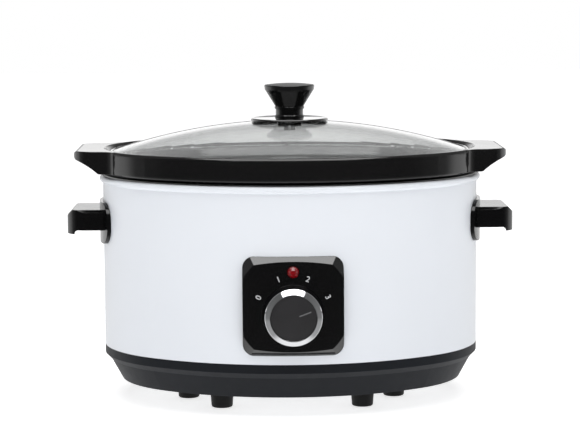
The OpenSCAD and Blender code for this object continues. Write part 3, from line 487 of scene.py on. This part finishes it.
def jewelLens():
    low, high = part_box("indicator_lens")
    centre = (low + high) / 2
    radius = (high.x - low.x) / 2
    face = panelFace - jewel["proud"]
    rise = face - low.y
    count = jewel["sides"]
    skin = bmesh.new()
    rings = []
    for row, (share, height) in enumerate(jewel["rings"]):
        shift = math.pi / count * (row % 2)
        rings.append([skin.verts.new((
            centre.x + radius * share * math.cos(2 * math.pi * i / count + shift),
            face - rise * height,
            centre.z + radius * share * math.sin(2 * math.pi * i / count + shift))) for i in range(count)])
    for row in range(len(rings) - 1):
        for i in range(count):
            j = (i + 1) % count
            if row % 2 == 0:
                skin.faces.new((rings[row][i], rings[row][j], rings[row + 1][i]))
                skin.faces.new((rings[row][j], rings[row + 1][j], rings[row + 1][i]))
            else:
                skin.faces.new((rings[row][i], rings[row][j], rings[row + 1][j]))
                skin.faces.new((rings[row][i], rings[row + 1][j], rings[row + 1][i]))
    skin.faces.new(rings[-1])
    skin.faces.new(list(reversed(rings[0])))
    bmesh.ops.recalc_face_normals(skin, faces=skin.faces)
    shape = bpy.data.meshes.new("jewelLens")
    skin.to_mesh(shape)
    skin.free()
    piece = housingPiece("jewelLens", shape, "lens")
    return piece


lens = jewelLens()
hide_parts("indicator_lens")
print("marks and lens made")

# stage: a floor that glows more further out, in metres from the middle
ground = {"wide": 12.0, "drop": 0.0002, "specular": 0.1, "colour": (0.90, 0.90, 0.905, 1),
          "shade": (0.87, 0.87, 0.88, 1), "shadeScale": 2.5, "rough": 0.8, "vary": 0.05, "varyScale": 30,
          "glowFrom": 0.25, "glowTo": 0.9, "nearGlow": grey(0.68), "farGlow": grey(0.9)}


def stageFloor():
    v = ground
    shape = bpy.data.meshes.new("studioFloor")
    half = v["wide"] / 2
    corners = [(-half, -half, 0), (half, -half, 0), (half, half, 0), (-half, half, 0)]
    shape.from_pydata(corners, [], [(0, 1, 2, 3)])
    floor = bpy.data.objects.new("studioFloor", shape)
    bpy.context.scene.collection.objects.link(floor)
    f = Finish("paleFloor", Specular_IOR_Level=v["specular"], Emission_Strength=1.0)
    f.feed(Base_Color=f.blend(f.noise(v["shadeScale"], 2), v["colour"], v["shade"]),
           Roughness=v["rough"] + v["vary"] * f.noise(v["varyScale"]))
    reach = f.add("VectorMath", {"operation": "LENGTH"}, {0: f.place()}, out="Value")
    far = f.rise(reach, v["glowFrom"], v["glowTo"])
    f.feed(Emission_Color=f.blend(far, v["nearGlow"], v["farGlow"]))
    shape.materials.append(f.material)
    floor.location.z = -v["drop"]
    floor.visible_glossy = False


lamps = {
    "topSoftbox": {"spot": (0, -0.5, 1.65), "aim": (0, -0.1, 0), "size": (1.7, 1.9), "power": 34,
                   "glossy": True},
    "frontFill": {"spot": (0, -2.4, 0.75), "aim": (0, 0, 0.13), "size": (0.9, 0.9), "power": 9.5,
                  "glossy": False},
}


def softboxes():
    for name, v in lamps.items():
        lamp = bpy.data.lights.new(name, "AREA")
        lamp.shape = "RECTANGLE"
        lamp.size, lamp.size_y = v["size"]
        lamp.energy = v["power"]
        box = bpy.data.objects.new(name, lamp)
        bpy.context.scene.collection.objects.link(box)
        box.location = v["spot"]
        box.rotation_euler = (Vector(v["aim"]) - Vector(v["spot"])).to_track_quat("-Z", "Y").to_euler()
        box.visible_glossy = v["glossy"]
        box.visible_camera = False


# the studio by direction: each pair is where a band starts and ends, and the rest is how bright the bands are
sky = {"behind": (-0.05, 0.25), "beside": (-0.5, 0.05), "raised": (0.03, 0.085), "ebbing": (0.13, 0.3),
       "sill": (0.02, -0.03), "under": (-0.14, -0.30), "deep": (-0.72, -0.94), "backLight": 1.25,
       "ebbShare": 0.86, "sillLight": 0.95, "lowLight": 0.72, "dimLight": 0.11, "sideLight": 0.24,
       "darkest": 0.04}


def studioWorld():
    world = bpy.data.worlds.new("paleStudio")
    world.use_nodes = True
    bpy.context.scene.world = world
    g = Graph(world.node_tree)
    away = g.along("Generated", "Y")
    up = g.along("Generated", "Z")
    behind = g.rise(away, *sky["behind"])
    beside = g.rise(away, *sky["beside"])
    wall = g.rise(up, *sky["raised"]) * sky["backLight"] * (1 - sky["ebbShare"] * g.rise(up, *sky["ebbing"]))
    lift = wall + g.rise(up, *sky["sill"]) * sky["sillLight"]
    low = g.rise(up, *sky["under"]) * sky["dimLight"]
    front = (low + g.rise(up, *sky["deep"]) * (sky["lowLight"] - sky["dimLight"])) * (1 - behind)
    bright = sky["darkest"] + behind * lift + front + beside * (1 - behind) * sky["sideLight"]
    # what the camera sees directly or through glass is plain white
    seen = g.add("LightPath", out="Is Camera Ray")
    through = g.add("LightPath", out="Is Transmission Ray")
    plain = seen.maths("MAXIMUM", seen, through)
    back = world.node_tree.nodes["Background"]
    g.join(bright * (1 - plain) + plain, back.inputs["Strength"])
    back.inputs["Color"].default_value = (1, 1, 1, 1)


# angles in degrees, the focal length as a multiple of the frame's width
camera = {"spot": (-0.0321, -1.8622, 0.3763), "pitch": 6.648, "yaw": 0.981, "roll": -0.356, "sensor": 36,
          "focal": 2123.0 / 580}


def placeCamera():
    eye = bpy.data.cameras.new("frontEye")
    eye.sensor_width = camera["sensor"]
    eye.lens = camera["focal"] * camera["sensor"]
    view = bpy.data.objects.new("frontEye", eye)
    bpy.context.scene.collection.objects.link(view)
    heading = Matrix.Rotation(math.radians(-camera["yaw"]), 4, "Z")
    tilt = Matrix.Rotation(math.radians(90 - camera["pitch"]), 4, "X")
    lean = Matrix.Rotation(math.radians(camera["roll"]), 4, "Z")
    view.matrix_world = Matrix.Translation(camera["spot"]) @ heading @ tilt @ lean
    bpy.context.scene.camera = view


stageFloor()
softboxes()
studioWorld()
placeCamera()
scene = bpy.context.scene
scene.view_settings.view_transform = "Standard"
scene.view_settings.look = "None"
print("stage and camera set")
